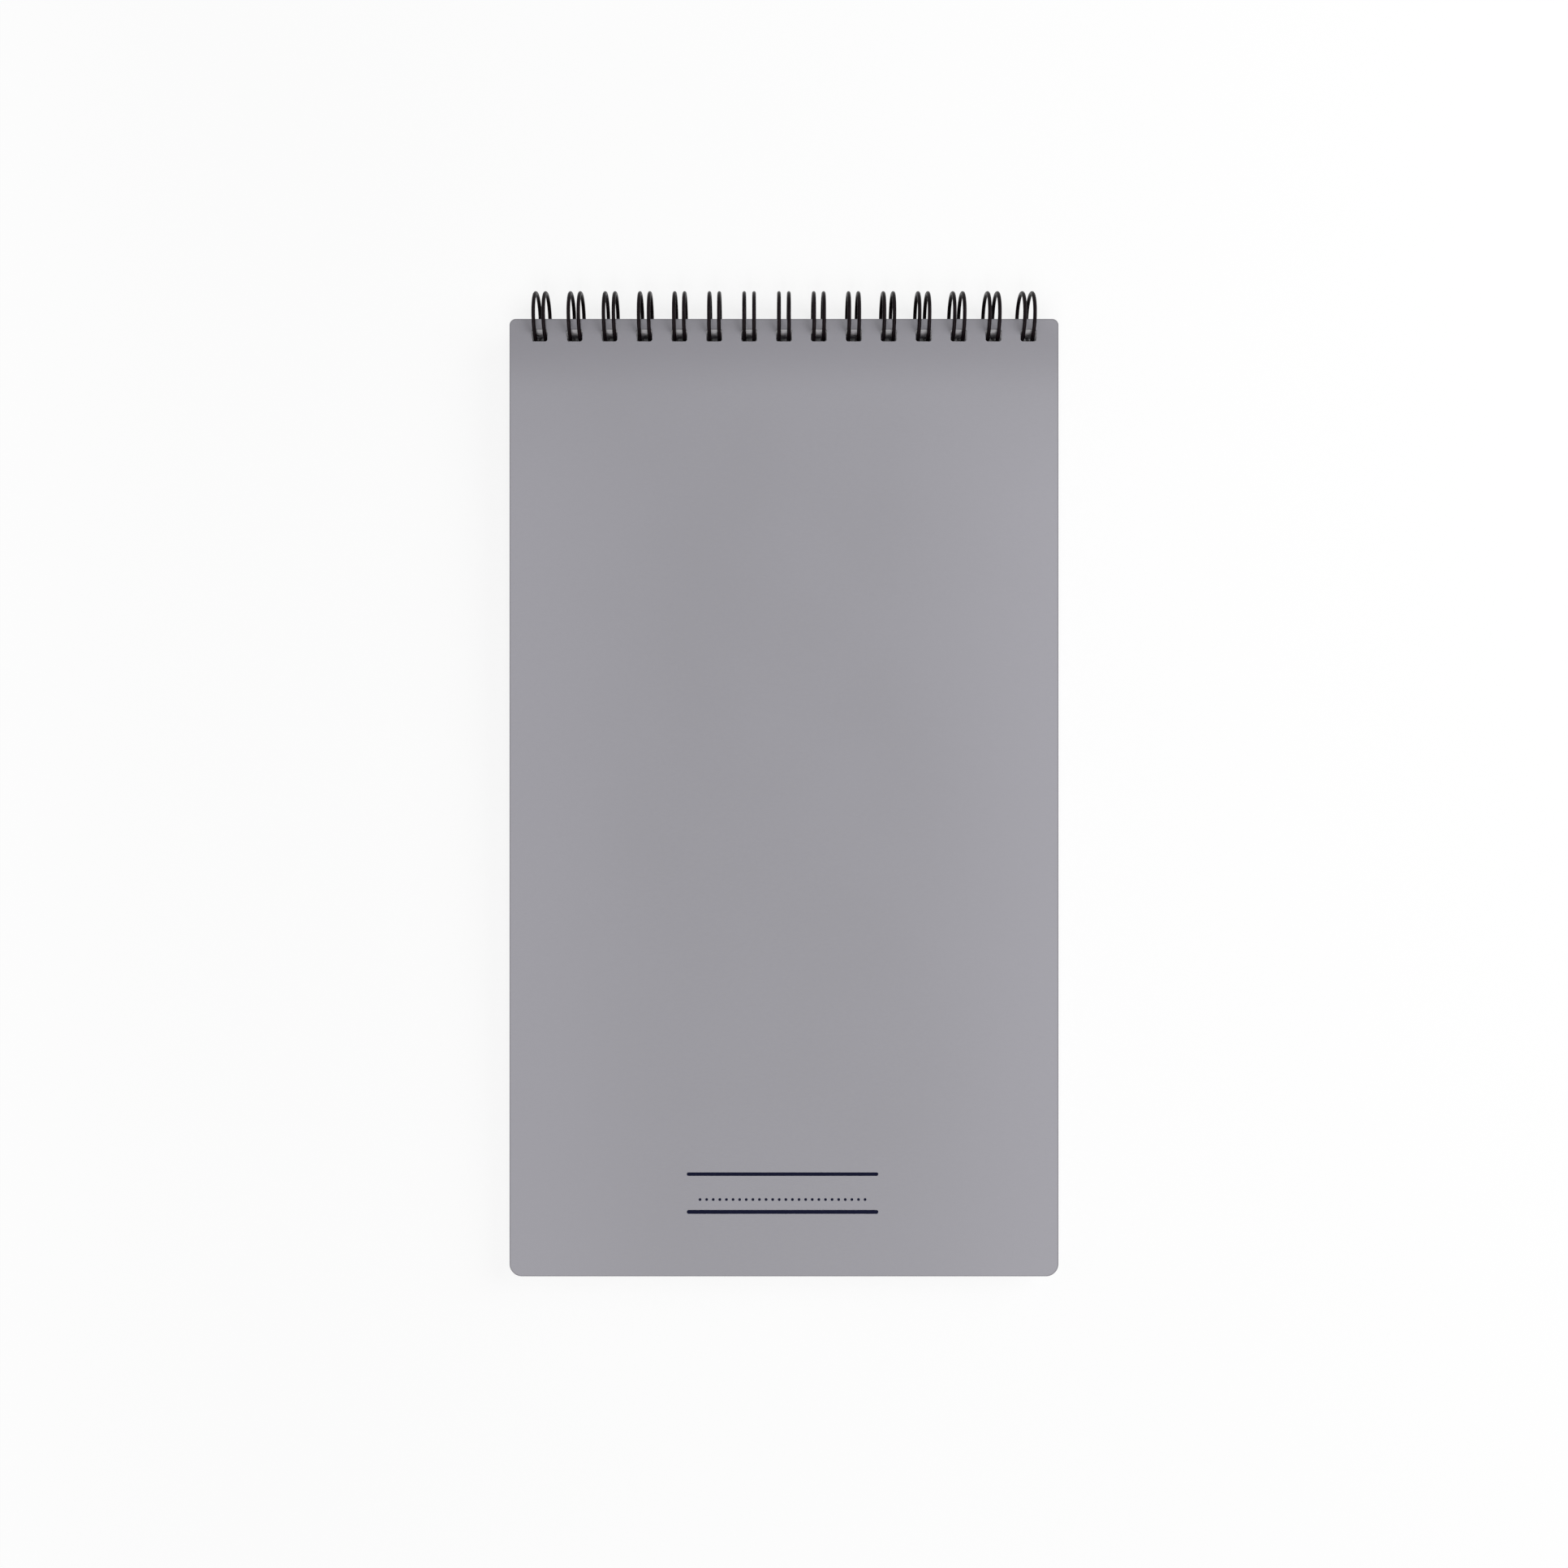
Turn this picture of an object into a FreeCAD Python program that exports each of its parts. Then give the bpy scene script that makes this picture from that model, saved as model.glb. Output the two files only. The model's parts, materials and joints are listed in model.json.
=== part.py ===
"""Top-bound pocket notebook: two plastic covers, a block of sheets and a twin-loop wire binding.

Units are millimetres. The sheets are first modelled flat in the ring frame, where the X axis
is the centre line of the wire loops, the sheets run away from it along -Y, and +Z is the front.
Each sheet body is then turned a little about that line to its rest angle, because a notebook
that lies on a table leans from its wire loops down to its free end.
"""
import FreeCAD, Part
import math
import os
from FreeCAD import Vector

# --- driving dimensions -------------------------------------------------------------------
# Sheets
cover_width = 133.0
cover_length = 232.0
cover_thickness = 0.6
pages_thickness = 5.3
page_side_inset = 0.7          # how far the pages sit inside the covers at each side
page_foot_inset = 1.0          # and at the free end
head_corner_radius = 1.5       # the two corners beside the binding
foot_corner_radius = 3.0       # the two corners at the free end

# Punched holes
loop_count = 15
loop_pitch = 25.4 / 3          # three holes to the inch
hole_width = 3.9
hole_height = 3.0
hole_corner_radius = 0.6
hole_to_head_edge = 2.45       # from the sheets' head edge to the near side of a hole

# Twin-loop wire
wire_diameter = 0.9
loop_inner_diameter = 11.1
leg_spacing = 2.4              # between the two wires of one loop
root_bend_radius = 0.8         # where a leg turns into the link to the next loop
loose_end = 0.8                # stub of link left on the first and the last loop
seam_clearance = 0.15          # between a loop's closed tip and the root bends beside it

# How the sheets sit in the loops
head_edge_to_loop_centre = 1.25
seam_gap = 1.3                 # room for the wire's seam between the last page and the back cover

# --- worked out from them -----------------------------------------------------------------
wire_radius = wire_diameter / 2
loop_radius = (loop_inner_diameter + wire_diameter) / 2
loop_outer_radius = loop_radius + wire_radius
binding_thickness = 2 * cover_thickness + pages_thickness + seam_gap
cover_outer_offset = binding_thickness / 2
cover_inner_offset = cover_outer_offset - cover_thickness
pages_underside = cover_inner_offset - pages_thickness
page_width = cover_width - 2 * page_side_inset
page_length = cover_length - page_foot_inset
leg_offset = leg_spacing / 2
X_AXIS = Vector(1, 0, 0)
LOOP_CENTRE = Vector(0, 0, 0)


def loop_positions():
    """X of the middle of every loop, from the left one to the right one."""
    first = -(loop_count - 1) / 2 * loop_pitch
    return [first + number * loop_pitch for number in range(loop_count)]


# --- sheets -------------------------------------------------------------------------------
def rounded_outline(left, right, low, high, low_radius, high_radius, height):
    """Closed wire of a rectangle with one radius at its low corners and one at its high ones."""
    corners = [(left, low, low_radius, 180), (right, low, low_radius, 270),
               (right, high, high_radius, 0), (left, high, high_radius, 90)]
    arcs = []
    for x, y, radius, start in corners:
        centre = Vector(x + (radius if x == left else -radius),
                        y + (radius if y == low else -radius), height)
        arcs.append(Part.ArcOfCircle(Part.Circle(centre, Vector(0, 0, 1), radius),
                                     math.radians(start), math.radians(start + 90)))
    edges = []
    for arc, following in zip(arcs, arcs[1:] + arcs[:1]):
        edges.append(arc.toShape())
        edges.append(Part.LineSegment(arc.EndPoint, following.StartPoint).toShape())
    return Part.Wire(edges)


def hole_outlines(height):
    """One rounded rectangle for each punched hole."""
    near = -head_edge_to_loop_centre - hole_to_head_edge
    return [rounded_outline(x - hole_width / 2, x + hole_width / 2, near - hole_height, near,
                            hole_corner_radius, hole_corner_radius, height)
            for x in loop_positions()]


def punched_sheet(width, length, underside, thickness):
    """A flat body with rounded corners and the row of holes along its head edge."""
    head = -head_edge_to_loop_centre
    outline = rounded_outline(-width / 2, width / 2, head - length, head,
                              foot_corner_radius, head_corner_radius, underside)
    face = Part.makeFace([outline] + hole_outlines(underside), "Part::FaceMakerBullseye")
    return face.extrude(Vector(0, 0, thickness))


# --- wire ---------------------------------------------------------------------------------
def on_loop(x, angle, along=0.0):
    """Point on the loop's centre line at an angle from +Y, moved along its tangent."""
    return Vector(x,
                  loop_radius * math.cos(angle) - along * math.sin(angle),
                  loop_radius * math.sin(angle) + along * math.cos(angle))


def seam_angles():
    """Where the legs leave the root bends, and where they reach the loop's tip.

    The links between loops lie in the gap between the last page and the back cover. The
    part of a root bend that is wider than the hole hangs a little lower than its link, so
    the link sits above the middle of the gap by half of that drop.
    """
    widest_in_hole = hole_width / 2 - wire_radius
    turned = math.acos((leg_offset + root_bend_radius - widest_in_hole) / root_bend_radius)
    drop = root_bend_radius * (1 - math.sin(turned))
    link_depth = cover_inner_offset - seam_gap / 2 - drop / 2
    link_angle = math.pi + math.asin(link_depth / loop_radius)
    root = link_angle + root_bend_radius / loop_radius
    bend_centre = leg_offset + root_bend_radius
    reach = bend_centre + wire_diameter + seam_clearance
    tip_to_root = math.sqrt(reach ** 2 - bend_centre ** 2)
    tip = root + 2 * math.pi - tip_to_root / loop_radius
    return root, tip


def quarter_bend(x_link, x_leg, root):
    """Three points of the bend between a link end and the leg beside it."""
    corner = math.sin(math.radians(45))
    side = 1 if x_leg > x_link else -1
    middle = on_loop(x_link + side * root_bend_radius * corner, root,
                     -root_bend_radius * corner)
    return on_loop(x_link, root, -root_bend_radius), middle, on_loop(x_leg, root)


def wire_path():
    """Centre line of the whole binding: links, root bends, legs and tips, from left to right."""
    root, tip = seam_angles()
    halfway = (root + tip) / 2
    edges = []
    link_start = on_loop(loop_positions()[0] - leg_offset - root_bend_radius - loose_end,
                         root, -root_bend_radius)
    for x in loop_positions():
        left, right = x - leg_offset, x + leg_offset
        start, middle, end = quarter_bend(left - root_bend_radius, left, root)
        edges.append(Part.LineSegment(link_start, start).toShape())
        edges.append(Part.Arc(start, middle, end).toShape())
        edges.append(Part.Arc(end, on_loop(left, halfway), on_loop(left, tip)).toShape())
        edges.append(Part.Arc(on_loop(left, tip), on_loop(x, tip, leg_offset),
                              on_loop(right, tip)).toShape())
        edges.append(Part.Arc(on_loop(right, tip), on_loop(right, halfway),
                              on_loop(right, root)).toShape())
        start, middle, end = quarter_bend(right + root_bend_radius, right, root)
        edges.append(Part.Arc(end, middle, start).toShape())
        link_start = start
    edges.append(Part.LineSegment(link_start, link_start + X_AXIS * loose_end).toShape())
    return Part.Wire(edges)


def twin_loop_wire():
    """One round wire bent into all the loops."""
    path = wire_path()
    start = path.OrderedEdges[0].valueAt(path.OrderedEdges[0].FirstParameter)
    section = Part.Wire([Part.makeCircle(wire_radius, start, X_AXIS)])
    solid = path.makePipeShell([section], True, False)
    print("wire length", round(path.Length, 1), "volume", round(solid.Volume, 2),
          "section times length", round(math.pi * wire_radius ** 2 * path.Length, 2))
    return solid


# --- rest angles --------------------------------------------------------------------------
def lean_to(depth, offset, reach):
    """Angle in degrees that brings a point offset below and reach along a sheet to a depth."""
    distance = math.hypot(offset, reach)
    return math.degrees(math.asin(depth / distance) - math.atan2(offset, reach))


def rest_angles():
    """How far the back cover, and the pages with the front cover on them, lean at rest."""
    back = lean_to(loop_outer_radius, cover_outer_offset,
                   head_edge_to_loop_centre + cover_length)
    pages = lean_to(cover_inner_offset, -pages_underside,
                    head_edge_to_loop_centre + page_length)
    return back, back + pages


def main():
    back_angle, pages_angle = rest_angles()
    parts = {
        "front_cover": (punched_sheet(cover_width, cover_length, cover_inner_offset,
                                      cover_thickness), pages_angle),
        "page_block": (punched_sheet(page_width, page_length, pages_underside,
                                     pages_thickness), pages_angle),
        "back_cover": (punched_sheet(cover_width, cover_length, -cover_outer_offset,
                                     cover_thickness), back_angle),
        "twin_loop_wire": (twin_loop_wire(), pages_angle),
    }
    for shape, angle in parts.values():
        shape.rotate(LOOP_CENTRE, X_AXIS, angle)

    # The origin goes under the middle of the whole notebook, on the table.
    foot = min(shape.optimalBoundingBox(True).YMin for shape, angle in parts.values())
    to_origin = Vector(0, -(foot + loop_outer_radius) / 2, loop_outer_radius)
    os.makedirs("parts", exist_ok=True)
    for name, (shape, angle) in parts.items():
        shape.translate(to_origin)
        print(name, "valid", shape.isValid(), "solids", len(shape.Solids),
              "faces", len(shape.Faces), "volume", round(shape.Volume, 2))
        shape.exportStep(os.path.join("parts", name + ".step"))
    print("loop centre line at y", round(to_origin.y, 4), "z", round(to_origin.z, 4),
          "back cover leans", round(back_angle, 4), "pages lean", round(pages_angle, 4))


main()
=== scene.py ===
# %% [markdown]
# # A wire-bound notebook, from CAD solids to a finished look
# The notebook arrives as four CAD solids: two plastic covers, a block of pages and one long
# wire bent into double loops. Their sizes and places are settled, so this lesson never moves
# them. It builds what the solids leave out, the single sheets of the block and the ink on the
# cover, and gives every surface the finish that the real one has.

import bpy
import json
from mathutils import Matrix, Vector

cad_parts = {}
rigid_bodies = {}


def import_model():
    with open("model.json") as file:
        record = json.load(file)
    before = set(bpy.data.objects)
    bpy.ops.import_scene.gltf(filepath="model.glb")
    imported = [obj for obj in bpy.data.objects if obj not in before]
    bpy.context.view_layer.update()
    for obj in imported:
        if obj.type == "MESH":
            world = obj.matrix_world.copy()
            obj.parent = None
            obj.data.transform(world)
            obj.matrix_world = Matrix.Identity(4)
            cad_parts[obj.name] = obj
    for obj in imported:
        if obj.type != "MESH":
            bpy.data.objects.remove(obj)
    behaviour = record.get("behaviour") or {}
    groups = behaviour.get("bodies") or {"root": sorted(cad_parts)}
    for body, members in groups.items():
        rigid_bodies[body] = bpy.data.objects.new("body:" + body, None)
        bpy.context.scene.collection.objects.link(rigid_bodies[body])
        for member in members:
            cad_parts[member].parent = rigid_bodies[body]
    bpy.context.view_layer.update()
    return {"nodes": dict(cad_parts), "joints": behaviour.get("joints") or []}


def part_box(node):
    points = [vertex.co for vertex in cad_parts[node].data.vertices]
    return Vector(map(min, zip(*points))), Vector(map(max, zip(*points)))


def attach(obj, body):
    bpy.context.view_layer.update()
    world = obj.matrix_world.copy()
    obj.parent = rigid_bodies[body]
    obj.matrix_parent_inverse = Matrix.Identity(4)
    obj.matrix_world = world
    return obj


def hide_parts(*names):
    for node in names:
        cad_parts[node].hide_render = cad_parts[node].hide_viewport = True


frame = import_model()

# %% Libraries and units
import json
import math
import random

import bpy
from mathutils import Matrix, Vector

MM = 0.001
nodes = frame["nodes"]

# %% [markdown]
# ## Reading sizes from the frame
# The notebook leans: it rests on its wire loops at one end and on the free end of its back
# cover at the other. Work on a sheet is far easier while it lies flat, so every sheet gets a
# flat workbench frame. Its X axis is the centre line of the wire loops, which is also the
# hinge line of the joints, its Y axis runs along the sheet, and its Z axis leaves the sheet.
# The lean is read from the largest face of the CAD solid, so nothing has to be typed in.

# %% The hinge line and the lean of a sheet
hinge = Vector(frame["joints"][0]["pos_m"])


def lean_of(node):
    """The angle by which a CAD sheet leans, read from its largest face."""
    face = max(nodes[node].data.polygons, key=lambda polygon: polygon.area)
    return math.atan2(abs(face.normal.y), abs(face.normal.z))


def flat_box(node):
    """Lowest and highest corner of a leaning CAD sheet, in its own flat workbench frame."""
    turn_flat = Matrix.Rotation(-lean_of(node), 3, "X")
    corners = [turn_flat @ (vertex.co - hinge) for vertex in nodes[node].data.vertices]
    low = Vector(min(corner[axis] for corner in corners) for axis in range(3))
    high = Vector(max(corner[axis] for corner in corners) for axis in range(3))
    return low, high


for sheet_name in ("front_cover", "page_block", "back_cover"):
    low, high = flat_box(sheet_name)
    print(sheet_name, "leans", round(math.degrees(lean_of(sheet_name)), 3), "degrees")
    print(sheet_name, "measures", [round(size / MM, 2) for size in high - low], "mm")

# %% [markdown]
# ## Small tools for modelling
# Blender's operators act on whatever is selected, and the CAD solids come in selected. These
# helpers keep that under control: one deselects everything, one makes a single object active,
# and one picks vertices by a test on their place, as a hand would pick them on screen.

# %% Selecting things in code


def deselect_all():
    """Nothing selected and nothing active, so that the next operator touches only its own work."""
    for thing in bpy.context.scene.objects:
        thing.select_set(False)
    bpy.context.view_layer.objects.active = None


def pick_object(thing):
    """Makes one object the only selected one."""
    deselect_all()
    thing.select_set(True)
    bpy.context.view_layer.objects.active = thing


def everywhere(place):
    """The test that every vertex passes."""
    return True


def pick_vertices(thing, wanted):
    """Opens edit mode with exactly the vertices selected whose place passes the test."""
    pick_object(thing)
    bpy.ops.object.mode_set(mode="EDIT")
    bpy.ops.mesh.select_mode(type="VERT")
    bpy.ops.mesh.select_all(action="DESELECT")
    bpy.ops.object.mode_set(mode="OBJECT")
    for vertex in thing.data.vertices:
        vertex.select = wanted(vertex.co)
    bpy.ops.object.mode_set(mode="EDIT")


def leave_edit_mode():
    """Back to object mode after shaping."""
    bpy.ops.object.mode_set(mode="OBJECT")


def apply_modifier(thing, kind, **settings):
    """Adds one modifier, sets it up and applies it at once."""
    pick_object(thing)
    modifier = thing.modifiers.new(kind.title(), kind)
    for name, value in settings.items():
        setattr(modifier, name, value)
    bpy.ops.object.modifier_apply(modifier=modifier.name)


# %% Rectangles and plates


def flat_rectangle(name, left, right, low, high, height):
    """A flat rectangle between two X and two Y values at one height."""
    deselect_all()
    middle = ((left + right) / 2, (low + high) / 2, height)
    bpy.ops.mesh.primitive_plane_add(size=1, location=middle)
    plate = bpy.context.active_object
    plate.name = name
    plate.scale = (right - left, high - low, 1)
    bpy.ops.object.transform_apply(location=True, rotation=True, scale=True)
    return plate


def round_corners(plate, wanted, radius, steps):
    """Rounds the corners of a flat outline whose place passes the test."""
    pick_vertices(plate, wanted)
    bpy.ops.mesh.bevel(offset=radius, offset_type="OFFSET", segments=steps, affect="VERTICES")
    leave_edit_mode()


def thicken(plate, thickness):
    """Extrudes a flat outline upwards into a closed plate, faces outwards."""
    pick_vertices(plate, everywhere)
    bpy.ops.mesh.extrude_region_move(TRANSFORM_OT_translate={"value": (0, 0, thickness)})
    bpy.ops.mesh.select_all(action="SELECT")
    bpy.ops.mesh.normals_make_consistent(inside=False)
    leave_edit_mode()


def lean_into_place(piece, lean):
    """Takes a finished piece from the flat workbench frame to where its sheet leans."""
    pick_object(piece)
    piece.location = hinge
    piece.rotation_euler = (lean, 0, 0)
    bpy.ops.object.transform_apply(location=True, rotation=True, scale=True)


def triangles_of(piece):
    """How many triangles a mesh comes to."""
    return sum(len(polygon.vertices) - 2 for polygon in piece.data.polygons)


# %% [markdown]
# ## One punched sheet of paper
# The CAD block is one solid. In the hand it is a stack of loose sheets, and that shows at its
# edges as fine, slightly uneven lines. One sheet is modelled with care and the rest are copies.
# A sheet starts as a rectangle, its corners are rounded, it gets its thickness, and a row of
# punches is subtracted. The punch is a box with rounded upright edges, repeated by an Array.

# %% Sizes of the sheet and its holes
inch = 25.4 * MM
sheet_count = 50
paper_share = 0.93
loose_fit = 0.09 * MM
loop_count = 15
loop_pitch = inch / 3
hole_width = 3.9 * MM
hole_height = 3.0 * MM
hole_from_head = 2.45 * MM
hole_corner = 0.6 * MM
hole_corner_steps = 3
head_corner = 1.5 * MM
head_corner_steps = 4
foot_corner = 3.0 * MM
foot_corner_steps = 6

pages_low, pages_high = flat_box("page_block")
sheet_pitch = (pages_high.z - pages_low.z) / sheet_count
sheet_thickness = paper_share * sheet_pitch
print("one sheet every", round(sheet_pitch / MM, 4), "mm")
print("paper", round(sheet_thickness / MM, 4), "mm thick")

# %% The row of punches


def row_of_punches(head, under, over):
    """A box with rounded upright edges for each hole, all in a row, from under to over."""
    first = -(loop_count - 1) / 2 * loop_pitch
    hole_top = head - hole_from_head
    punch = flat_rectangle("punch", first - hole_width / 2, first + hole_width / 2,
                           hole_top - hole_height, hole_top, under)
    round_corners(punch, everywhere, hole_corner, hole_corner_steps)
    thicken(punch, over - under)
    apply_modifier(punch, "ARRAY", count=loop_count, use_relative_offset=False,
                   use_constant_offset=True, constant_offset_displace=(loop_pitch, 0, 0))
    return punch


# %% The sheet itself


def punched_sheet(name, low, high, thickness):
    """A thin plate in the workbench frame, with rounded corners and the row of holes."""
    middle = (low.y + high.y) / 2
    sheet = flat_rectangle(name, low.x, high.x, low.y, high.y, 0)
    round_corners(sheet, lambda place: place.y < middle, foot_corner, foot_corner_steps)
    round_corners(sheet, lambda place: place.y > middle, head_corner, head_corner_steps)
    thicken(sheet, thickness)
    punches = row_of_punches(high.y, -thickness, 2 * thickness)
    apply_modifier(sheet, "BOOLEAN", object=punches, operation="DIFFERENCE", solver="EXACT")
    bpy.data.objects.remove(punches)
    return sheet


# The sheets are a little smaller than the block, so that shifting them keeps them inside it.
margin = Vector((loose_fit, loose_fit, 0))
first_sheet = punched_sheet("sheet", pages_low + margin, pages_high - margin, sheet_thickness)
print("one sheet has", triangles_of(first_sheet), "triangles")

# %% [markdown]
# ## The stack of sheets
# Sheets on a wire have some play, so no two lie exactly alike. Each copy is shifted by less
# than a tenth of a millimetre, from a seeded generator, so that the stack is the same on every
# run. The offsets are smaller than the holes' play, so the wire stays clear of the paper. The
# two outer sheets stay pieces of their own, because the open notebook shows them whole and a
# texture that is made of one sheet keeps its ruling sharp. The sheets between them are joined
# into one piece. All three stand for the CAD block and turn with it.

# %% Stack the sheets
shuffle_seed = 20
shuffle = random.Random(shuffle_seed)


def copy_of(piece):
    """A copy with its own mesh."""
    twin = piece.copy()
    twin.data = piece.data.copy()
    bpy.context.collection.objects.link(twin)
    return twin


sheets = [first_sheet] + [copy_of(first_sheet) for number in range(1, sheet_count)]
for number, sheet in enumerate(sheets):
    sheet.location = (shuffle.uniform(-loose_fit, loose_fit),
                      shuffle.uniform(-loose_fit, loose_fit),
                      pages_low.z + number * sheet_pitch)
print("stacked", len(sheets), "sheets")

# %% Join the inner sheets and lean the stack


def joined(pieces):
    """Joins several pieces into the first of them, with their places in the mesh."""
    pick_object(pieces[0])
    for piece in pieces:
        piece.select_set(True)
    bpy.ops.object.transform_apply(location=True, rotation=True, scale=True)
    bpy.ops.object.join()
    return pieces[0]


pages = {"last_page": joined(sheets[:1]), "page_sheets": joined(sheets[1:-1]),
         "first_page": joined(sheets[-1:])}
for name, piece in pages.items():
    piece.name = name
    lean_into_place(piece, lean_of("page_block"))
    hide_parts("page_block")
    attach(piece, "book")
    print(name, "has", triangles_of(piece), "triangles")

# %% [markdown]
# ## The print on the cover
# The cover carries one small print in navy ink near its free end: two plain bars, and between
# them a dotted line to write a name on. Screen ink stands on the plastic as a very thin film,
# so it is modelled as one. A bar is a rectangle whose corners are rounded until its ends are
# nearly half circles. Bars and dots get the thickness of the film by extruding them, one dot
# is repeated by an Array, and all of it is joined into one print.

# %% Sizes of the print
bar_length = 46.4 * MM
upper_bar = {"above_foot": 24.75 * MM, "width": 0.85 * MM}
lower_bar = {"above_foot": 15.6 * MM, "width": 0.95 * MM}
print_left_of_middle = 0.35 * MM
bar_rounding = 0.49
bar_corner_steps = 6
dot_line_above_foot = 18.6 * MM
dot_line_length = 40 * MM
dot_size = 0.7 * MM
dot_corners = 12
dot_pitch = 1.6 * MM
ink_film = 0.012 * MM

cover_low, cover_high = flat_box("front_cover")

# %% The bars and the dots


def printed_bar(name, above_foot, width):
    """A bar of ink with rounded ends, on the front cover."""
    middle_x = -print_left_of_middle
    middle_y = cover_low.y + above_foot
    bar = flat_rectangle(name, middle_x - bar_length / 2, middle_x + bar_length / 2,
                         middle_y - width / 2, middle_y + width / 2, cover_high.z)
    round_corners(bar, everywhere, bar_rounding * width, bar_corner_steps)
    thicken(bar, ink_film)
    return bar


def dotted_line():
    """A row of small round dots to write on."""
    dot_count = round(dot_line_length / dot_pitch) + 1
    first = -print_left_of_middle - (dot_count - 1) / 2 * dot_pitch
    deselect_all()
    bpy.ops.mesh.primitive_circle_add(
        vertices=dot_corners, radius=dot_size / 2, fill_type="NGON",
        location=(first, cover_low.y + dot_line_above_foot, cover_high.z))
    dots = bpy.context.active_object
    bpy.ops.object.transform_apply(location=True, rotation=True, scale=True)
    thicken(dots, ink_film)
    apply_modifier(dots, "ARRAY", count=dot_count, use_relative_offset=False,
                   use_constant_offset=True, constant_offset_displace=(dot_pitch, 0, 0))
    return dots


first_bar = printed_bar("cover_print", **upper_bar)
second_bar = printed_bar("second_bar", **lower_bar)
cover_print = joined([first_bar, second_bar, dotted_line()])
lean_into_place(cover_print, lean_of("front_cover"))
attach(cover_print, "front")
print("print has", triangles_of(cover_print), "triangles")

# %% [markdown]
# ## Arithmetic on shader sockets
# A procedural finish is mostly arithmetic on positions and noise. Written with one node call
# per step it can't be read, so a small class wraps a socket and lets Python's own operators
# add the Math nodes. A second class holds one node tree, and one method of it makes any node
# from its type, its settings and its sockets. A material and the world are both node trees.

# %% A socket that can be calculated with


class Signal:
    """One output socket of a node tree under construction, usable in ordinary arithmetic."""

    def __init__(self, graph, socket):
        self.graph = graph
        self.socket = socket

    def math(self, operation, *values):
        return self.graph.node("ShaderNodeMath", {"operation": operation},
                               dict(enumerate(values)))

    def __add__(self, other):
        return self.math("ADD", self, other)

    def __sub__(self, other):
        return self.math("SUBTRACT", self, other)

    def __rsub__(self, other):
        return self.math("SUBTRACT", other, self)

    def __mul__(self, other):
        return self.math("MULTIPLY", self, other)

    def __pow__(self, other):
        return self.math("POWER", self, other)

    def __abs__(self):
        return self.math("ABSOLUTE", self)

    __radd__ = __add__
    __rmul__ = __mul__

    def at_least(self, other):
        return self.math("MAXIMUM", self, other)

    def at_most(self, other):
        return self.math("MINIMUM", self, other)

    def below(self, other):
        return self.math("LESS_THAN", self, other)

    def repeated(self, period):
        """Distance from the nearest multiple of the period, from 0 to half of it."""
        return self.math("PINGPONG", self, period / 2)

    def fade(self, start, end):
        """0 before start, 1 after end, and smooth in between."""
        return self.graph.node("ShaderNodeMapRange", {"interpolation_type": "SMOOTHSTEP"},
                               {"Value": self, "From Min": start, "From Max": end})

    def between(self, low, high):
        """Stretches a value that runs from 0 to 1, so that it runs from low to high."""
        return low + (high - low) * self


# %% A node tree that makes its own nodes


class Graph:
    """The node tree of a material or of the world."""

    def __init__(self, tree):
        self.tree = tree

    def feed(self, socket, value):
        """Links a Signal to an input socket, or writes a plain value into it."""
        if isinstance(value, Signal):
            self.tree.links.new(value.socket, socket)
        else:
            socket.default_value = value

    def node(self, kind, settings, sockets, output=0):
        """Any node: its type, then its settings, then its sockets. Returns one output."""
        made = self.tree.nodes.new(kind)
        for name, value in settings.items():
            setattr(made, name, value)
        for name, value in sockets.items():
            self.feed(made.inputs[name], value)
        return Signal(self, made.outputs[output])


# %% A material with one Principled shader


class Finish(Graph):
    """A material, with its own places, noises, blends and relief."""

    def __init__(self, name, **constants):
        self.material = bpy.data.materials.new(name)
        self.material.use_nodes = True
        super().__init__(self.material.node_tree)
        self.shader = self.tree.nodes["Principled BSDF"]
        for socket, value in constants.items():
            self.feed(self.shader.inputs[socket.replace("_", " ")], value)

    def drive(self, socket, value):
        """Lets a Signal vary one input of the Principled shader."""
        self.feed(self.shader.inputs[socket], value)

    def place(self, origin=(0, 0, 0), turn=0.0):
        """Object coordinates, moved to an origin and turned about X, in metres."""
        raw = self.node("ShaderNodeTexCoord", {}, {}, "Object")
        turned = Matrix.Rotation(turn, 3, "X")
        return self.node("ShaderNodeMapping", {"vector_type": "POINT"},
                         {"Vector": raw, "Rotation": (turn, 0, 0),
                          "Location": turned @ -Vector(origin)})

    def axes(self, place):
        """X, Y and Z of a vector as three Signals."""
        split = self.node("ShaderNodeSeparateXYZ", {}, {"Vector": place})
        return [Signal(self, socket) for socket in split.socket.node.outputs]

    def noise(self, place, grain, detail=2.0):
        """Noise from 0 to 1 with grains of about the given size in metres."""
        return self.node("ShaderNodeTexNoise", {"noise_dimensions": "3D"},
                         {"Vector": place, "Scale": 1 / grain, "Detail": detail})

    def blend(self, share, first, second):
        """Mixes two colours by a share from 0 to 1."""
        mixed = self.node("ShaderNodeMix", {"data_type": "RGBA"},
                          {"Factor": share, 6: first, 7: second})
        return Signal(self, mixed.socket.node.outputs[2])

    def bump(self, height, depth):
        """Turns a height from 0 to 1 into a relief of the given depth in metres."""
        self.drive("Normal", self.node("ShaderNodeBump", {}, {"Height": height, "Distance": depth}))


def colour(red, green, blue):
    """A colour for a socket, from linear light values."""
    return (red, green, blue, 1.0)


def wear(piece, finish):
    """Gives a piece one material all over."""
    piece.data.materials.clear()
    piece.data.materials.append(finish.material)


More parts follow.
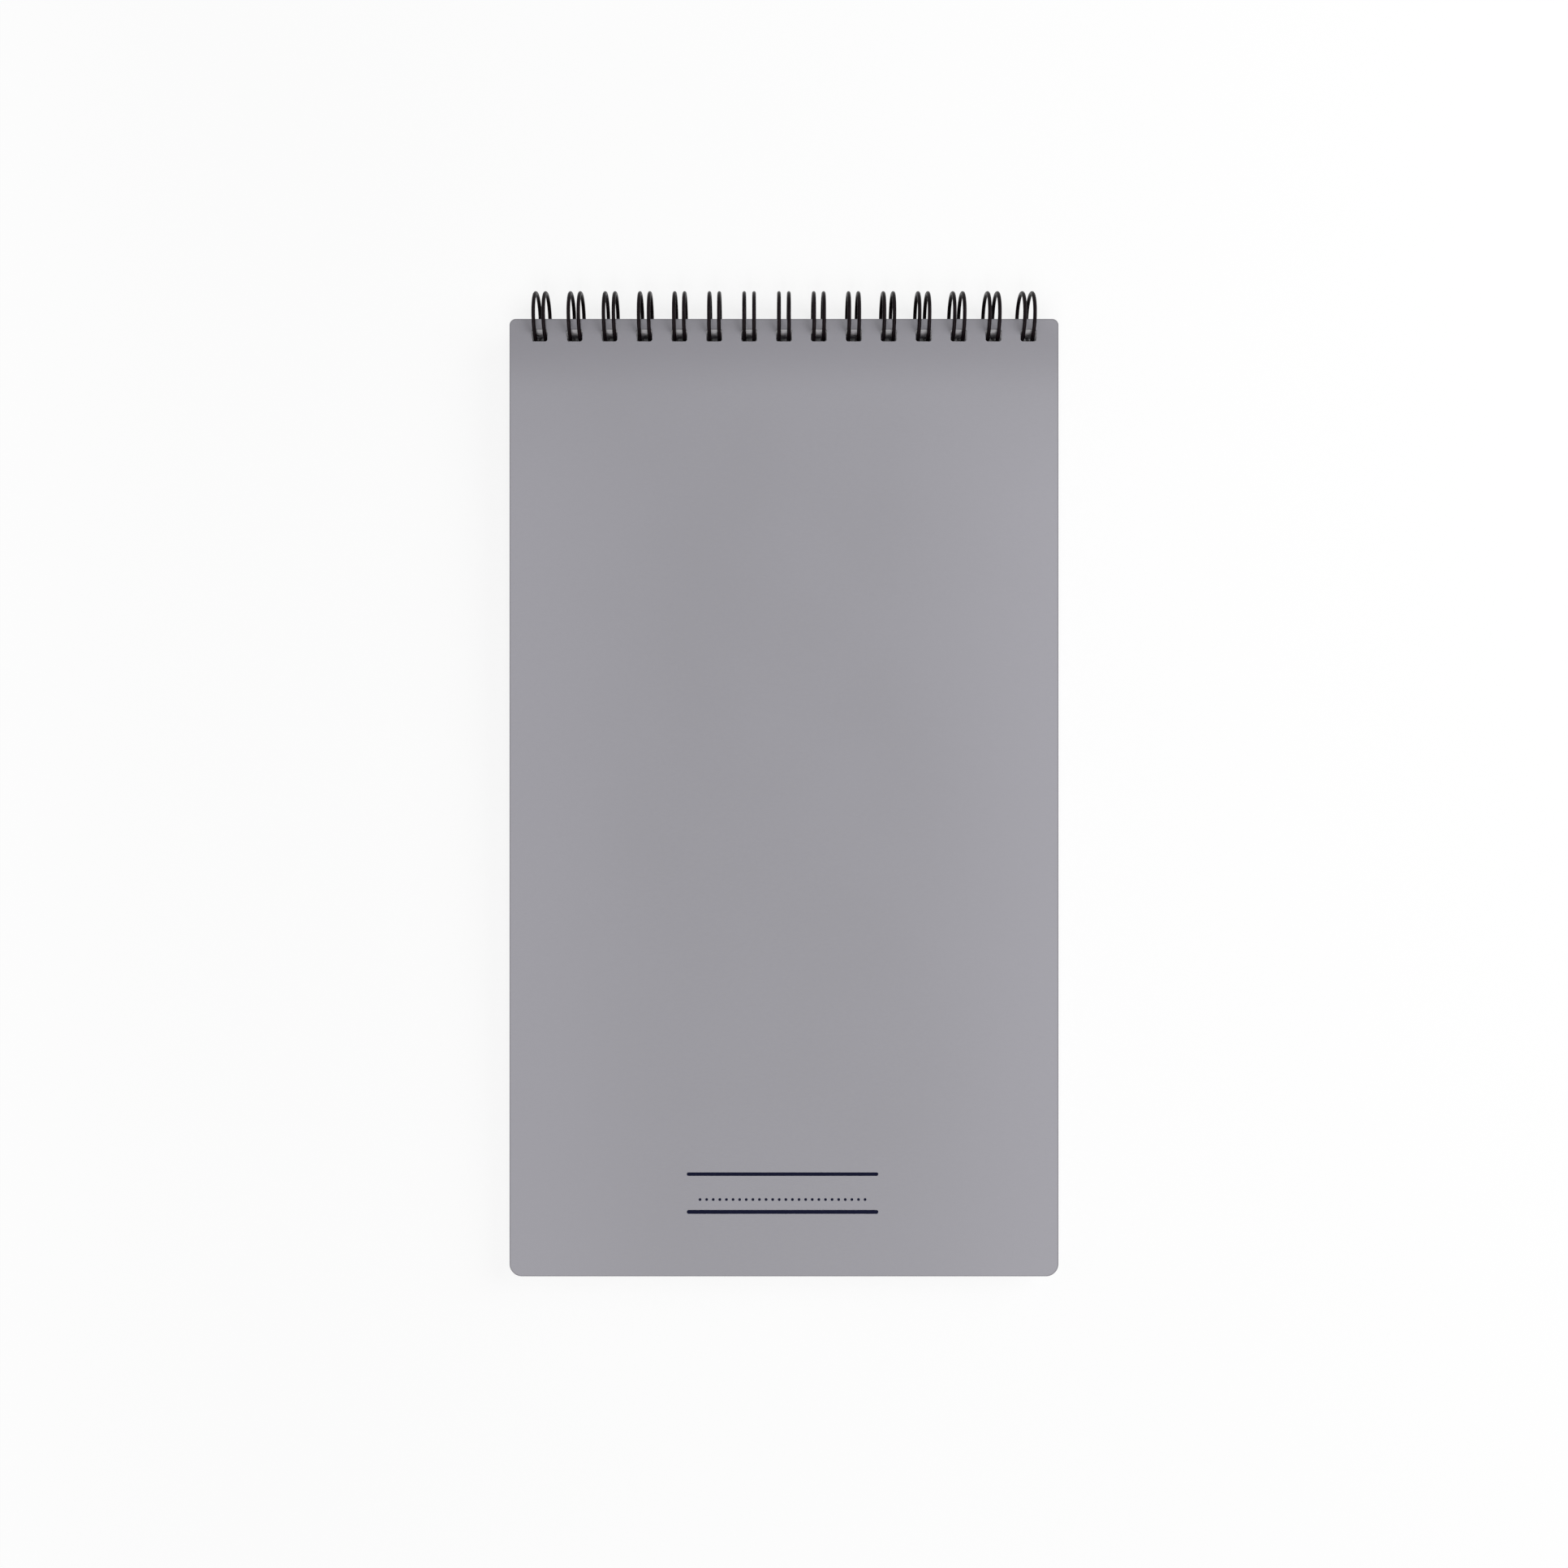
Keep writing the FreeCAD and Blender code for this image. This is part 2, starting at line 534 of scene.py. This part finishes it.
# %% [markdown]
# ## Frosted plastic for the covers
# The covers are die-cut from grey sheet that left the mill with a fine matte grain on it, a
# little longer across the sheet than along it because of the way the sheet was rolled. Up
# close the grain scatters light, and from afar it only softens reflections. The finish has
# five parts: the grain as a shallow bump, a faint mottle in the pigment, a painted sheen that
# makes the cover paler towards its two long edges, a band of painted shade that makes it
# darker along the binding, and a thin line of painted shade round the outline, in place of
# the shade of the cut edge.

# %% Distance from the outline of a rounded sheet


def outline_distance(x, y, low, high):
    """Negative inside a sheet with rounded corners, 0 on its outline, in metres."""
    half = (high - low) / 2
    middle = (high.y + low.y) / 2
    at_foot = y.below(middle)
    corner = head_corner + at_foot * (foot_corner - head_corner)
    past_x = abs(x) - half.x + corner
    past_y = abs(y - middle) - half.y + corner
    outside = (past_x.at_least(0) ** 2 + past_y.at_least(0) ** 2) ** 0.5
    inside = past_x.at_least(past_y).at_most(0)
    return outside + inside - corner


# %% The covers' finish
plastic_grey = colour(0.325, 0.319, 0.348)
plastic_pale = colour(0.335, 0.329, 0.360)
# Painted sheen: the colour that the cover turns paler to towards its long edges.
plastic_painted_sheen = colour(0.366, 0.359, 0.395)
# Painted shade: the colour of the thin darker line round the outline.
plastic_painted_edge_shade = colour(0.150, 0.146, 0.165)
# Painted shade: the colour of the darker band along the binding.
plastic_painted_shade = colour(0.279, 0.273, 0.300)

# Noise seldom leaves the middle of its range, so a fade over that part uses all of a blend.
noise_range = (0.3, 0.7)

mottle_grain = 30 * MM
mottle_share = 0.6
cover_grain = 0.5 * MM
cover_fine_grain = 0.18 * MM
fine_grain_share = 0.5
rolled_stretch = 0.5
cover_relief = 0.03 * MM
cover_roughness = (0.50, 0.62)

# Where the painted sheen falls, towards the long edges and away from the head.
sheen_from_middle = (20 * MM, 68 * MM)
sheen_from_head = (4 * MM, 48 * MM)
sheen_share = 0.8
# Where the painted shade along the binding falls.
shade_band_from_head = (3 * MM, 20 * MM)
shade_share_at_head = 0.75
shade_full_from_head = 6 * MM
# Where the painted shade round the outline falls, just inside the outline.
edge_shade_distance = (-0.32 * MM, -0.05 * MM)
edge_shade_share = 0.8


def frosted_plastic(name, node):
    """Matte grey sheet plastic with painted sheen and painted shade, laid out on one cover's own
    outline.
    """
    low, high = flat_box(node)
    finish = Finish(name, IOR=1.49, Specular_IOR_Level=0.35)
    place = finish.place(hinge, -lean_of(node))
    x, y, z = finish.axes(place)
    mottle = finish.noise(place, mottle_grain, 1.0)
    rolled = finish.node("ShaderNodeCombineXYZ", {}, {"X": x * rolled_stretch, "Y": y, "Z": z})
    grain = finish.noise(rolled, cover_grain)
    fine_grain = finish.noise(rolled, cover_fine_grain, 1.0)
    speckle = mottle * mottle_share + grain * (1 - mottle_share)
    pigment = finish.blend(speckle.fade(*noise_range), plastic_grey, plastic_pale)
    from_head = high.y - y
    # Painted sheen: paler towards the two long edges, away from the head.
    painted_sheen = abs(x).fade(*sheen_from_middle) * from_head.fade(*sheen_from_head)
    sheened_pigment = finish.blend(painted_sheen * sheen_share, pigment, plastic_painted_sheen)
    # Painted shade: a darker band along the binding.
    painted_band_shade = 1 - from_head.fade(*shade_band_from_head)
    shade_band_share = from_head.fade(0, shade_full_from_head).between(shade_share_at_head, 1)
    shaded_pigment = finish.blend(painted_band_shade * shade_band_share, sheened_pigment, plastic_painted_shade)
    # Painted shade: a thin darker line round the outline.
    painted_edge_shade = outline_distance(x, y, low, high).fade(*edge_shade_distance)
    finish.drive("Base Color", finish.blend(painted_edge_shade * edge_shade_share, shaded_pigment, plastic_painted_edge_shade))
    finish.drive("Roughness", mottle.between(*cover_roughness))
    finish.bump(grain + fine_grain_share * fine_grain, cover_relief)
    return finish


for cover in ("front_cover", "back_cover"):
    wear(nodes[cover], frosted_plastic(cover + "_plastic", cover))
    print(cover, "wears", nodes[cover].data.materials[0].name)

# %% [markdown]
# ## Paper with a plain square ruling
# Writing paper is not pure white: it is slightly warm, with a cloudy fibre structure. The
# printed ruling is a grid of thin blue-grey lines, soft at their sides where the ink has spread
# in the fibres. It stops short of every edge, so the edges of the stack stay plain. Each sheet
# in the stack differs a little in tone, which the eye reads as fine lines along the edges. That
# comes from noise that changes fast only through the stack. The two outer sheets carry the
# ruling. The inner ones show only their cut edges, so they stay plain, and they are painted
# greyer: painted shade for the light that goes in between loose sheets and is partly lost there.

# %% The pages' finish
paper_warm = colour(0.835, 0.822, 0.815)
paper_light = colour(0.895, 0.887, 0.888)
# The two cut-edge colours are greyer than the paper: painted shade for light lost between sheets.
cut_edge_shaded_grey = colour(0.700, 0.687, 0.708)
cut_edge_shaded_light = colour(0.780, 0.767, 0.788)
ruling_blue = colour(0.42, 0.52, 0.60)
paper_surface = {"IOR": 1.45, "Specular_IOR_Level": 0.2, "Roughness": 0.85}
cloud_grain = 1.6 * MM
cloud_share = 0.4
sheet_tone_grain = 0.4 * MM

# The sheet tone is read at stretched places, so that it changes slowly along a sheet and fast
# through the stack.
along_sheet = 0.008
through_stack = 4


def paper_colour(finish, place, darker, lighter):
    """Cloudy fibres between two colours, in a tone that changes from sheet to sheet."""
    x, y, z = finish.axes(place)
    cloud = finish.noise(place, cloud_grain, 4.0)
    stretched = finish.node("ShaderNodeCombineXYZ", {}, {
        "X": x * along_sheet, "Y": y * along_sheet, "Z": z * through_stack})
    sheet_tone = finish.noise(stretched, sheet_tone_grain, 1.0)
    tone = cloud * cloud_share + sheet_tone * (1 - cloud_share)
    return finish.blend(tone.fade(*noise_range), darker, lighter)


def plain_paper(name):
    """Paper for the sheets that show only their cut edges, greyed by painted shade."""
    finish = Finish(name, **paper_surface)
    place = finish.place(hinge, -lean_of("page_block"))
    finish.drive("Base Color", paper_colour(finish, place, cut_edge_shaded_grey, cut_edge_shaded_light))
    return finish


wear(pages["page_sheets"], plain_paper("shaded_cut_edges"))
print("inner sheets wear", pages["page_sheets"].data.materials[0].name)

# %% The ruling on the outer sheets
square = 5 * MM
ruling_fade = 0.26 * MM
ruling_margin = 6.5 * MM
ruling_below_head = 16.5 * MM
ruling_share = 0.75
fibre_grain = 0.3 * MM
fibre_relief = 0.01 * MM


def ruling_mask(x, y):
    """1 on the lines of the square grid inside its margins, fading to 0 beside them."""
    top = pages_high.y - ruling_below_head
    foot = top - square * math.floor((top - pages_low.y - ruling_margin) / square)
    half_width = square * math.floor((pages_high.x - ruling_margin) / square)
    from_line = x.repeated(square).at_most((y - foot).repeated(square))
    in_width = abs(x).below(half_width + ruling_fade)
    in_height = abs(y - (top + foot) / 2).below((top - foot) / 2 + ruling_fade)
    return (1 - from_line.fade(0, ruling_fade)) * in_width * in_height


def ruled_paper(name):
    """Paper with the ruling on it, and fibres that stand up a little."""
    finish = Finish(name, **paper_surface)
    place = finish.place(hinge, -lean_of("page_block"))
    x, y, z = finish.axes(place)
    share = ruling_mask(x, y) * ruling_share
    page = paper_colour(finish, place, paper_warm, paper_light)
    finish.drive("Base Color", finish.blend(share, page, ruling_blue))
    finish.bump(finish.noise(place, fibre_grain, 3.0), fibre_relief)
    return finish


ruled = ruled_paper("ruled_paper")
wear(pages["first_page"], ruled)
wear(pages["last_page"], ruled)
print("ruling squares of", round(square / MM, 1), "mm")

# %% [markdown]
# ## Coated wire
# The wire is steel with a thin black nylon coating. Nylon gives a satin surface, deep black
# with only a faint soft highlight along each loop, and small unevenness from dipping. The bump
# is shallow and the roughness varies a little, so that the highlight isn't one even line.

# %% The wire's finish
nylon_black = colour(0.0024, 0.0012, 0.0017)
nylon_worn = colour(0.0062, 0.0037, 0.0048)
nylon_highlight = colour(1.0, 0.82, 0.90)
patch_grain = 3 * MM
patch_range = (0.4, 0.7)
nylon_grain = 0.25 * MM
nylon_relief = 0.01 * MM
nylon_roughness = (0.26, 0.42)


def coated_wire(name):
    """Black nylon-coated steel wire."""
    finish = Finish(name, IOR=1.5, Specular_IOR_Level=0.08, Specular_Tint=nylon_highlight)
    place = finish.place()
    patches = finish.noise(place, patch_grain)
    finish.drive("Base Color", finish.blend(patches.fade(*patch_range), nylon_black, nylon_worn))
    finish.drive("Roughness", patches.between(*nylon_roughness))
    finish.bump(finish.noise(place, nylon_grain), nylon_relief)
    return finish


wear(nodes["twin_loop_wire"], coated_wire("black_wire"))
print("wire wears", nodes["twin_loop_wire"].data.materials[0].name)

# %% [markdown]
# ## Screen ink
# Ink on frosted plastic dries slightly uneven: it is a touch lighter where the film is thin.
# Its surface is a little smoother than the plastic around it, but it gives back very little
# light, so its specular level is low.

# %% The ink's finish
navy = colour(0.0045, 0.0055, 0.0215)
navy_thin = colour(0.0075, 0.0090, 0.0290)
ink_grain = 0.5 * MM
thin_range = (0.45, 0.75)
ink_roughness = (0.42, 0.57)
ink_relief = 0.004 * MM


def screen_ink(name):
    """Navy ink with thin spots."""
    finish = Finish(name, IOR=1.5, Specular_IOR_Level=0.04)
    place = finish.place()
    thin = finish.noise(place, ink_grain, 3.0)
    finish.drive("Base Color", finish.blend(thin.fade(*thin_range), navy, navy_thin))
    finish.drive("Roughness", thin.between(*ink_roughness))
    finish.bump(thin, ink_relief)
    return finish


wear(cover_print, screen_ink("navy_ink"))
print("print wears", cover_print.data.materials[0].name)

# %% [markdown]
# ## Smooth shading
# The solids come as flat facets. Shading them smooth by angle rounds the wire and leaves every
# cut edge of the sheets sharp. It changes no vertex, so the shapes stay as they were packed.
# The sheets and the print made here are shaded in the same way.

# %% Smooth the wire and the sheets
sharp_above = math.radians(35)
shown_solids = [nodes[name] for name in ("twin_loop_wire", "front_cover", "back_cover")]
for piece in (*shown_solids, *pages.values(), cover_print):
    pick_object(piece)
    bpy.ops.object.shade_smooth_by_angle(angle=sharp_above)
    print("shaded", piece.name)

# %% [markdown]
# ## Floor and surroundings
# The notebook lies on a white studio floor. A floor that is only a white diffuse surface would
# render grey wherever the lamps fall off, so for rays that reach the camera it is partly a
# white light of strength 1, and partly the diffuse surface that still shows the soft shadow.
# Under the notebook it is only the diffuse surface, so that the punched holes look down into
# the dark, and far from it, where no shadow reaches, it is all white. The world does the same
# as the open floor: it lights the scene at a modest level and is plain white to look at.

# %% Share of rays that see the white background


def seen_directly(graph):
    """1 for camera, glossy and transmission rays, and 0 for rays that carry light."""
    camera_ray, glossy_ray, clear_ray = [
        graph.node("ShaderNodeLightPath", {}, {}, name)
        for name in ("Is Camera Ray", "Is Glossy Ray", "Is Transmission Ray")]
    return (camera_ray + glossy_ray + clear_ray).at_most(1)


# %% The floor
floor_width = 8.0
floor_white = colour(0.97, 0.97, 0.97)
floor_pale = colour(0.95, 0.95, 0.95)
floor_grain = 40 * MM
white_light = colour(1, 1, 1)
white_near_notebook = 0.82
shadow_fades = (40 * MM, 250 * MM)
footprint_edge = (-1 * MM, 0.5 * MM)
footprint_low, footprint_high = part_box("back_cover")


def studio_floor():
    """A large white floor that keeps the notebook's shadow."""
    deselect_all()
    bpy.ops.mesh.primitive_plane_add(size=floor_width, location=(0, 0, 0))
    floor = bpy.context.active_object
    floor.name = "studio_floor"
    finish = Finish("floor_white", Specular_IOR_Level=0.0, Roughness=1.0)
    place = finish.place((footprint_low + footprint_high) / 2)
    x, y, z = finish.axes(place)
    half = (footprint_high - footprint_low) / 2
    beside = (abs(x) - half.x).at_least(abs(y) - half.y)
    grain = finish.noise(place, floor_grain)
    finish.drive("Base Color", finish.blend(grain, floor_pale, floor_white))
    white = beside.fade(*shadow_fades).between(white_near_notebook, 1)
    share = seen_directly(finish) * beside.fade(*footprint_edge) * white
    lit = Signal(finish, finish.shader.outputs["BSDF"])
    glow = finish.node("ShaderNodeEmission", {}, {"Color": white_light, "Strength": 1.0})
    both = finish.node("ShaderNodeMixShader", {}, {"Fac": share, 1: lit, 2: glow})
    finish.feed(finish.tree.nodes["Material Output"].inputs["Surface"], both)
    wear(floor, finish)


studio_floor()
print("floor beside the notebook shows", white_near_notebook, "of plain white")

# %% The world
world_light = 0.25


def studio_world():
    """Even light from all round, white where it is seen."""
    world = bpy.data.worlds.new("studio")
    world.use_nodes = True
    bpy.context.scene.world = world
    sky = Graph(world.node_tree)
    background = sky.tree.nodes["Background"]
    sky.feed(background.inputs["Color"], white_light)
    sky.feed(background.inputs["Strength"], seen_directly(sky).between(world_light, 1))


studio_world()
print("world lights at", world_light)

# %% [markdown]
# ## Lamps
# Three soft boxes light the notebook. The main one stands beyond its free end and shines up
# along it, which lights the paper inside the punched holes. Two stand beside its head: one on
# the right, which makes that side of the cover a little brighter, and a weak one on the left.
# Each is placed by its direction and distance from the notebook, and its power is worked out
# from the brightness that it should give on a white sheet there, so the total stays near 1.

# %% Place the soft boxes
lamps = {
    "foot_box": {"place": (0.0, -1.7, 2.1), "width": 1.3, "brightness": 0.36},
    "right_box": {"place": (0.62, 0.24, 0.48), "width": 0.6, "brightness": 0.34},
    "left_box": {"place": (-0.62, 0.24, 0.48), "width": 0.6, "brightness": 0.05},
}


def soft_box(name, place, width, brightness):
    """An area lamp aimed at the notebook, giving that brightness on a white sheet there."""
    place = Vector(place)
    lamp = bpy.data.lights.new(name, "AREA")
    lamp.shape = "SQUARE"
    lamp.size = width
    slant = place.z / place.length
    lamp.energy = brightness * math.pi ** 2 * place.length_squared / slant
    holder = bpy.data.objects.new(name, lamp)
    bpy.context.collection.objects.link(holder)
    holder.location = place
    holder.rotation_euler = (-place).to_track_quat("-Z", "Y").to_euler()


for name, settings in lamps.items():
    soft_box(name, **settings)
all_light = world_light + sum(settings["brightness"] for settings in lamps.values())
print("lamps and world add up to", round(all_light, 2))

# %% [markdown]
# ## Camera
# The notebook is seen squarely from above. The camera looks straight at the front cover, along
# its own normal, from a little over a third of a metre: near enough to see into the outer
# loops from the side. Its focal length comes from the width of table that the frame should
# take in. It stands a few millimetres from the middle of the cover, towards the head, where
# the wire needs room, and towards the left. A small shift of the frame brings the notebook back
# to the middle from left to right.

# %% Set up the camera
viewing_height = 365 * MM
frame_width = 380 * MM
camera_left_of_middle = 5 * MM
camera_towards_head = 3.3 * MM
nearest_seen = 10 * MM
sensor_width_mm = 36.0

lean = lean_of("front_cover")
cover_normal = Vector((0, -math.sin(lean), math.cos(lean)))
along_cover = Vector((0, math.cos(lean), math.sin(lean)))
print("cover normal", [round(part, 4) for part in cover_normal])

camera_data = bpy.data.cameras.new("camera")
camera_data.sensor_width = sensor_width_mm
camera_data.lens = sensor_width_mm * viewing_height / frame_width
camera_data.clip_start = nearest_seen
camera_data.shift_x = camera_left_of_middle / frame_width
camera = bpy.data.objects.new("camera", camera_data)
bpy.context.collection.objects.link(camera)
along_middle = (cover_low.y + cover_high.y) / 2
middle_of_cover = hinge + along_cover * along_middle + cover_normal * cover_high.z
aside = along_cover * camera_towards_head - Vector((camera_left_of_middle, 0, 0))
camera.location = middle_of_cover + cover_normal * viewing_height + aside
camera.rotation_mode = "QUATERNION"
view_axes = Matrix((Vector((1, 0, 0)), along_cover, cover_normal)).transposed()
camera.rotation_quaternion = view_axes.to_quaternion()
bpy.context.scene.camera = camera
bpy.context.scene.view_settings.view_transform = "Standard"
print("lens", round(camera_data.lens, 2), "mm")
